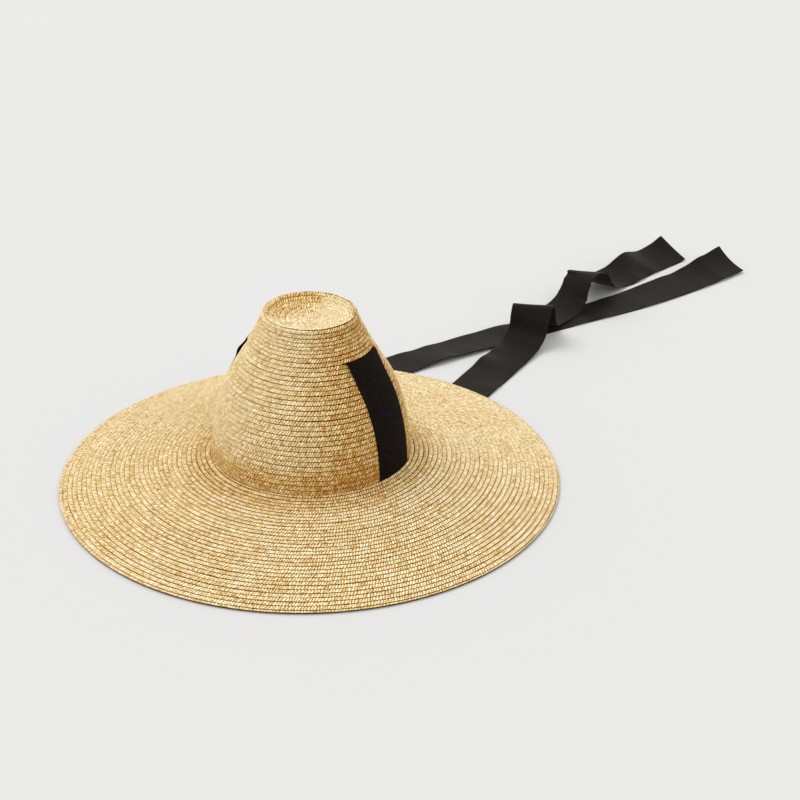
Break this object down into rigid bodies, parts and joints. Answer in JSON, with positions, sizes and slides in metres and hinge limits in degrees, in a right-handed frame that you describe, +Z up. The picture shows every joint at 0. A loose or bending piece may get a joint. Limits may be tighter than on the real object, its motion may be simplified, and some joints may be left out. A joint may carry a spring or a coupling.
{
  "type": "sun hat",
  "caption": "Wide-brimmed sun hat of spirally sewn straw braid: tall bell crown with a dished tip, drooping brim, and a black ribbon tie threaded through side slits, its ends lying loose.",
  "frame": {"origin": "centre of the brim's rim, on the surface that the hat stands on", "axes": "+Z up through the crown, -Y towards the front of the hat, +X towards the wearer's left, loose ribbon ends towards +Y"},
  "size_m": [0.49, 1.0416, 0.174],
  "materials": {
    "straw_braid": "natural wheat straw, slightly glossy",
    "grosgrain": "matt black, fine cross ribs"
  },
  "bodies": {
    "root": {"crown": "straw_braid", "brim": "straw_braid", "ribbon_band": "grosgrain", "ribbon_tail_left": "grosgrain", "ribbon_tail_right": "grosgrain"}
  },
  "joints": []
}
